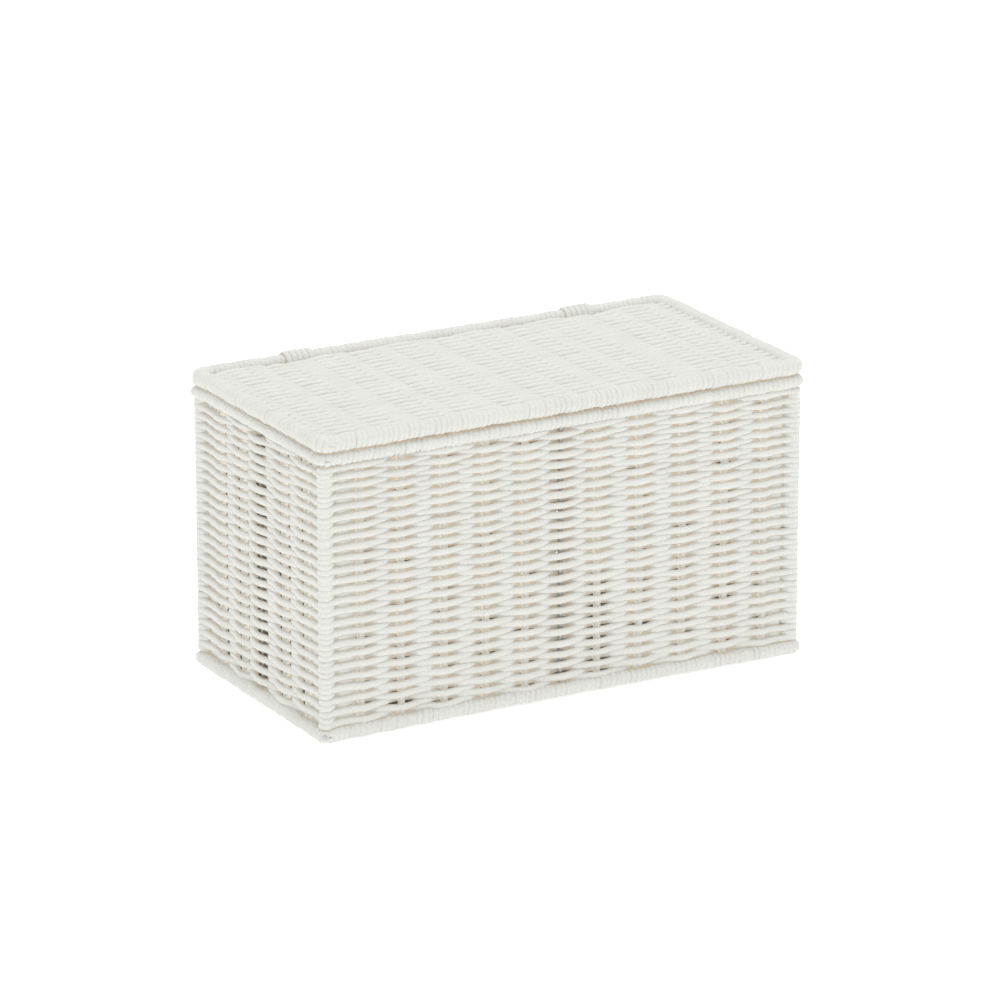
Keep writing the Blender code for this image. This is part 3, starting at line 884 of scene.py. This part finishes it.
@dataclass
class HingeLashing:
    """Turns of rope that hold the lid's back rim to the basket's."""

    side: str
    axis: np.ndarray
    half_thick: float = 0.00125
    half_wide: float = 0.0024
    offsets: tuple[float, ...] = (-0.0092, -0.0046, 0.0, 0.0046, 0.0092)
    arc_steps: int = 14
    tuck: float = 0.0018
    foot_tuck: float = 0.0002
    corner: float = 0.0038
    straight_from: float = 0.003
    unevenness: float = 0.0002

    def build(self, material: bpy.types.Material) -> bpy.types.Object:
        """Wind the lashing.

        Args:
            material: The rope's finish.

        Returns:
            The lashing as one piece.
        """
        low, high = node_box(f"hinge_lashing_{self.side}")
        centre = float(low[0] + high[0]) / 2
        reach = float(high[2] - self.axis[2]) - self.tuck
        bottom = float(low[2]) + self.half_thick - self.foot_tuck
        path, facing = [], []
        for number, offset in enumerate(self.offsets):
            following = self.offsets[min(number + 1, len(self.offsets) - 1)]
            arc = np.linspace(0.0, np.pi, self.arc_steps + 1)
            top = [(centre + offset, self.axis[1] + reach * math.cos(a), self.axis[2] + reach * math.sin(a))
                   for a in arc]
            turned = [(0.0, math.cos(a), math.sin(a)) for a in arc]
            path += top
            facing += turned
            lower = self.lower_loop(reach, bottom)
            lengths = np.linspace(0.0, 1.0, len(lower) + 2)[1:-1]
            for share, ((y, z), normal) in zip(lengths, lower):
                swing = float(smooth_step(np.array(share)))
                path.append((centre + offset + (following - offset) * swing, y, z))
                facing.append((0.0, *normal))
        mesh = StrandMesh()
        points, normals = np.array(path), np.array(facing)
        count = len(points)
        uneven = Wander(70 + len(self.side), 1, count, 5.0, closed=False).at(0, np.arange(count))
        points += normals * (uneven * self.unevenness)[:, None]
        mesh.add(points, normals, np.full(count, self.half_thick), np.full(count, self.half_wide))
        return mesh.build(f"{self.side}_hinge_rope", material)

    def lower_loop(self, reach: float, bottom: float) -> list[tuple[tuple[float, float], ...]]:
        """Points and outward directions down the inside, under the top rim and up the outside."""
        corner = self.corner
        drop = bottom + corner
        start_height = self.axis[2] - self.straight_from
        loop = []
        for z in np.linspace(start_height, drop, 5)[:-1]:
            loop.append(((self.axis[1] - reach, z), (-1.0, 0.0)))
        for way, start in ((-1, math.pi), (1, 1.5 * math.pi)):
            for a in np.linspace(start, start + math.pi / 2, 5):
                y = self.axis[1] + way * (reach - corner) + corner * math.cos(a)
                loop.append(((y, drop + corner * math.sin(a)), (math.cos(a), math.sin(a))))
        for z in np.linspace(drop, start_height, 5)[1:]:
            loop.append(((self.axis[1] + reach, z), (1.0, 0.0)))
        return loop


@dataclass
class Stakes:
    """The rope-covered stakes and posts, each in the place of its frame node."""

    bend: float = 0.004
    spread: float = 1.35
    fullness: float = 0.96
    unevenness: float = 0.03
    seed: int = 90

    def straight(self, name: str) -> np.ndarray:
        """Centre line of a straight stake."""
        low, high = node_box(name)
        way = int(np.argmax(high - low))
        ends = np.repeat(((low + high) / 2)[None, :], 25, axis=0)
        ends[:, way] = np.linspace(low[way], high[way], 25)
        return ends

    def bent(self, name: str) -> np.ndarray:
        """Centre line of a stake that runs down the front, under the base and up the back."""
        low, high = node_box(name)
        radius = float(high[0] - low[0]) / 2
        x = float(low[0] + high[0]) / 2
        front, back, floor = low[1] + radius, high[1] - radius, low[2] + radius
        points = [(x, front, z) for z in np.linspace(high[2], floor + self.bend, 30)]
        turn = np.linspace(0.0, np.pi / 2, 7)[1:]
        points += [(x, front + self.bend * (1 - math.cos(a)), floor + self.bend * (1 - math.sin(a)))
                   for a in turn]
        points += [(x, y, floor) for y in np.linspace(front + self.bend, back - self.bend, 24)[1:]]
        points += [(x, back - self.bend * (1 - math.sin(a)), floor + self.bend * (1 - math.cos(a)))
                   for a in turn]
        points += [(x, back, z) for z in np.linspace(floor + self.bend, high[2], 30)[1:]]
        return np.array(points)

    def build(self, name: str, material: bpy.types.Material) -> bpy.types.Object:
        """Make one stake.

        Args:
            name: The frame node that it stands for.
            material: The rope's finish.

        Returns:
            The stake as one piece.
        """
        low, high = node_box(name)
        radius = float(min(high - low)) / 2
        path = self.bent(name) if name.startswith("body_stake_") else self.straight(name)
        facing = np.repeat(np.array([[1.0, 0.0, 0.0]]), len(path), axis=0)
        uneven = Wander(self.seed, 1, len(path), 3.0, closed=False).at(0, np.arange(len(path)))
        size = radius * (self.fullness + self.unevenness * uneven)
        mesh = StrandMesh()
        spread = 1.0 if name.startswith("corner_post_") else self.spread
        mesh.add(path, facing, size * spread, size)
        return mesh.build(f"{name}_rope", material)


@dataclass
class WireEnd:
    """The cut end of the base ring wire, which peeps out of the binding at the front left corner."""

    plan: TrunkPlan
    radius: float = 0.0019
    length: float = 0.009
    way: tuple[float, float, float] = (-0.55, -0.835, 0.02)
    tip: tuple[float, float, float] = (0.0032, 0.0014, 0.0050)

    def build(self, material: bpy.types.Material) -> bpy.types.Object:
        """Make the stub of wire."""
        bpy.ops.object.select_all(action="DESELECT")
        way = np.array(self.way)
        way /= np.linalg.norm(way)
        tip = np.array([self.plan.low[0] + self.tip[0], self.plan.low[1] + self.tip[1], self.tip[2]])
        middle = tip - way * self.length / 2
        turn = Vector(way).to_track_quat("Z", "Y").to_euler()
        bpy.ops.mesh.primitive_cylinder_add(vertices=24, radius=self.radius, depth=self.length,
                                            location=middle, rotation=turn)
        stub = bpy.context.active_object
        stub.name = "base_wire_end"
        bevel = stub.modifiers.new("worn_edge", "BEVEL")
        bevel.width = 0.0003
        bevel.segments = 2
        bpy.ops.object.modifier_apply(modifier=bevel.name)
        bpy.ops.object.transform_apply(location=True, rotation=True, scale=True)
        bpy.ops.object.shade_smooth_by_angle(angle=math.radians(40))
        stub.data.materials.append(material)
        return stub


@dataclass
class Studio:
    """White floor, soft light and the camera."""

    plan: TrunkPlan
    azimuth: float = -29.42
    elevation: float = 18.1
    lens: float = 220.6
    distance: float = 4.4569
    aim_height: float = 0.0989
    rise: float = 0.0211
    slide: float = 0.0013
    sky_strength: float = 0.95

    def floor(self) -> bpy.types.Object:
        """Lay the floor."""
        bpy.ops.object.select_all(action="DESELECT")
        bpy.ops.mesh.primitive_plane_add(size=30.0, location=(0.0, 0.0, -0.0002))
        floor = bpy.context.active_object
        floor.name = "studio_floor"
        bpy.ops.object.transform_apply(location=True, rotation=True, scale=True)
        floor.data.materials.append(FloorFinish().material())
        return floor

    def lights(self) -> None:
        """Set the sky and the soft boxes."""
        world = bpy.data.worlds.new("studio_sky")
        world.use_nodes = True
        background = world.node_tree.nodes["Background"]
        background.inputs["Color"].default_value = (1.0, 1.0, 1.0, 1.0)
        background.inputs["Strength"].default_value = self.sky_strength
        bpy.context.scene.world = world
        for name, place, size, power in (("soft_box_front", (0.9, -2.2, 2.2), 1.6, 2.5),
                                         ("soft_box_top", (0.1, 0.2, 2.8), 2.2, 22.0)):
            light = bpy.data.lights.new(name, "AREA")
            light.size = size
            light.energy = power
            lamp = bpy.data.objects.new(name, light)
            lamp.location = place
            lamp.rotation_euler = (-Vector(place)).to_track_quat("-Z", "Y").to_euler()
            bpy.context.collection.objects.link(lamp)
        bpy.context.scene.view_settings.view_transform = "Standard"

    def camera(self) -> None:
        """Place the camera at the shown angle."""
        turn, tilt = math.radians(self.azimuth), math.radians(self.elevation)
        back = Vector((math.sin(turn) * math.cos(tilt), -math.cos(turn) * math.cos(tilt), math.sin(tilt)))
        right = Vector((math.cos(turn), math.sin(turn), 0.0))
        up = back.cross(right)
        target = Vector((self.plan.middle[0], self.plan.middle[1], self.aim_height))
        data = bpy.data.cameras.new("camera")
        data.sensor_width = 36.0
        data.lens = self.lens
        data.clip_start = 0.1
        data.clip_end = 100.0
        camera = bpy.data.objects.new("camera", data)
        camera.location = target + back * self.distance + right * self.slide + up * self.rise
        camera.rotation_euler = back.to_track_quat("Z", "Y").to_euler()
        bpy.context.collection.objects.link(camera)
        bpy.context.scene.camera = camera


class Trunk:
    """The whole trunk: builds each piece and says what it stands for."""

    def __init__(self) -> None:
        """Read the frame and mix the finishes."""
        self.plan = TrunkPlan()
        self.rope = RopeFinish("white_paper_rope", (0.70, 0.702, 0.668), (0.655, 0.652, 0.612)).material()
        # The stakes' rope is a painted lit copy of the rope: a paler tan in its hollows and a stronger painted
        # glow, so that the stakes look lit.
        self.painted_lit_core = RopeFinish("inner_paper_rope", (0.70, 0.70, 0.655), (0.65, 0.64, 0.59),
                                painted_shade_tan=(0.78, 0.775, 0.745), glow=0.62).material()
        self.wire = WireFinish().material()

    def settle(self, piece: bpy.types.Object, body: str, slot: str, *nodes: str) -> None:
        """Give a piece its body, and hide the nodes that it stands for.

        Args:
            piece: The new piece.
            body: The body that it moves with.
            slot: The record's material slot of its finish; not used.
            *nodes: The frame's nodes that it replaces.
        """
        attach(piece, body)
        if nodes:
            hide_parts(*nodes)
        LOG.info("%s: %d faces on %s", piece.name, len(piece.data.polygons), body)

    def walls(self) -> None:
        """Weave the four walls."""
        for side, piece in WallWeave(self.plan).build(self.rope).items():
            self.settle(piece, "basket", "paper_rope", f"wall_weave_{side.name.lower()}")

    def panels(self) -> None:
        """Weave the base and the lid."""
        low, high = node_box("base_weave")
        base = FlatWeave("base_rope", "body_stake_", float(low[2] + high[2]) / 2,
                         (float(low[0]) - 0.003, float(high[0]) + 0.003),
                         (float(low[1]) + 0.0016, float(high[1]) - 0.0016), 31, end_swing=0.4)
        self.settle(base.build(self.rope), "basket", "paper_rope", "base_weave")
        low, high = node_box("lid_weave")
        gaps = {}
        for side in ("left", "right"):
            edge, far = node_box(f"hinge_lashing_{side}")
            gaps[side] = (float(edge[0] + far[0]) / 2, float(far[0] - edge[0]) / 2, 0.0030)
        lid = FlatWeave("lid_rope", "lid_stake_", float(low[2] + high[2]) / 2 + 0.0008,
                        (float(low[0]) - 0.006, float(high[0]) + 0.006),
                        (float(low[1]) + 0.0018, float(high[1]) - 0.0018), 41, gaps=gaps, swing=0.0014,
                        dip=0.0034, rope=RopeSize(tall=0.0036))
        self.settle(lid.build(self.rope), "lid", "paper_rope", "lid_weave")

    def rims(self) -> None:
        """Wind the three rims."""
        corner = self.plan.post_inset
        rims = (RimBinding(self.plan, "base", 51, corner, sag=-0.0016),
                RimBinding(self.plan, "top", 55, corner, sag=0.0006, lift=0.0019, back_lift=0.0026,
                           rear_lift=0.0008),
                RimBinding(self.plan, "lid", 61, 0.011, half_thick=0.0019, sag=-0.0002, slimmer=0.0014))
        for rim in rims:
            body = "lid" if rim.rim == "lid" else "basket"
            nodes = [f"{rim.rim}_binding_{side.name.lower()}" for side in Side]
            self.settle(rim.build(self.rope), body, "paper_rope", *nodes)

    def hinges(self) -> None:
        """Wind the two lashings."""
        for side in ("left", "right"):
            piece = HingeLashing(side, self.plan.lid_axis).build(self.rope)
            self.settle(piece, "basket", "paper_rope", f"hinge_lashing_{side}")

    def stakes(self) -> None:
        """Dress the wires, and make the rope-covered stakes."""
        slots = {part["node"]: part["material_slot"] for part in frame["record"]["subparts"]}
        stakes = Stakes()
        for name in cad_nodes():
            if slots[name] == "stake_rope":
                body = "lid" if name.startswith("lid_") else "basket"
                self.settle(stakes.build(name, self.painted_lit_core), body, "stake_rope", name)
            elif slots[name] == "galvanised_wire":
                for slot in frame["nodes"][name].material_slots:
                    slot.material = self.wire
        self.settle(WireEnd(self.plan).build(self.wire), "basket", "galvanised_wire")

    def build(self) -> None:
        """Make every piece."""
        self.walls()
        self.panels()
        self.rims()
        self.hinges()
        self.stakes()


def main() -> None:
    """Build the trunk and its studio."""
    logging.basicConfig(level=logging.INFO, format="%(name)s: %(message)s")
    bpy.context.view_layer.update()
    bpy.ops.object.select_all(action="DESELECT")
    trunk = Trunk()
    trunk.build()
    studio = Studio(trunk.plan)
    studio.floor()
    studio.lights()
    studio.camera()


if __name__ == "__main__":
    main()
